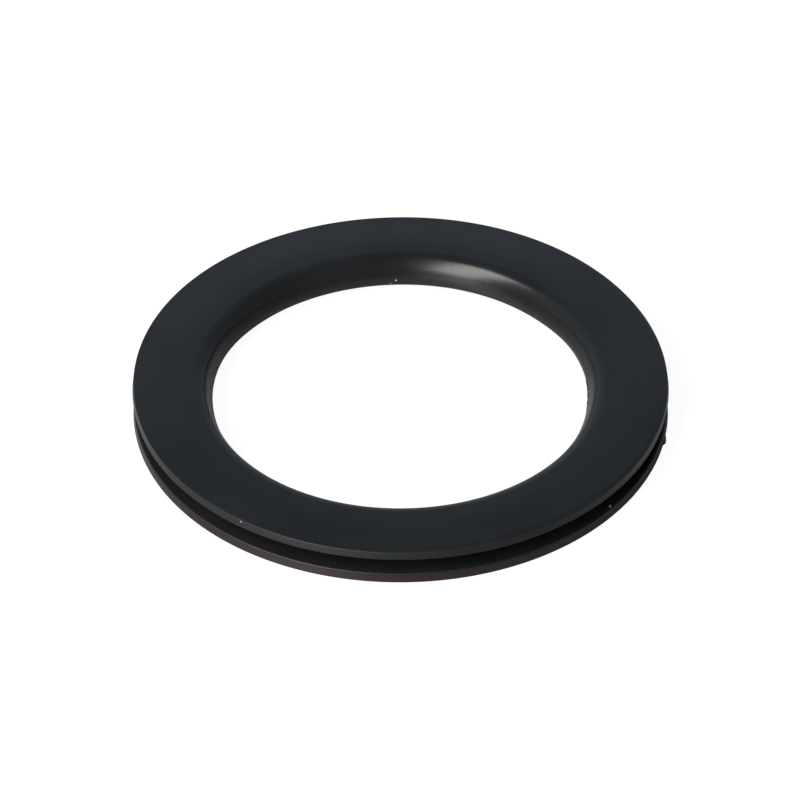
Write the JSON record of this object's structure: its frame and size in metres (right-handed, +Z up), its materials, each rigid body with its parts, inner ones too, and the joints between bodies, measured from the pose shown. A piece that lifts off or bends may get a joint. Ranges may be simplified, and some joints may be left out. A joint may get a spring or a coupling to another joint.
{
  "type": "dust seal",
  "caption": "Round black rubber dust seal with two flanges, a groove between them for a panel edge, and a smooth rounded bore lip.",
  "frame": {"origin": "centre of the base face, on the bore axis", "axes": "+Z up along the bore axis, from the base towards the upper flange's top face; the gate stub on the lower rim is on the +X side, 13 degrees towards -Y"},
  "size_m": [0.0602, 0.0602, 0.0044],
  "materials": {
    "rubber": "matte black moulded rubber, compression moulded, with a soft sheen on its roundings"
  },
  "bodies": {
    "root": {"dust_seal": "rubber"}
  },
  "joints": []
}
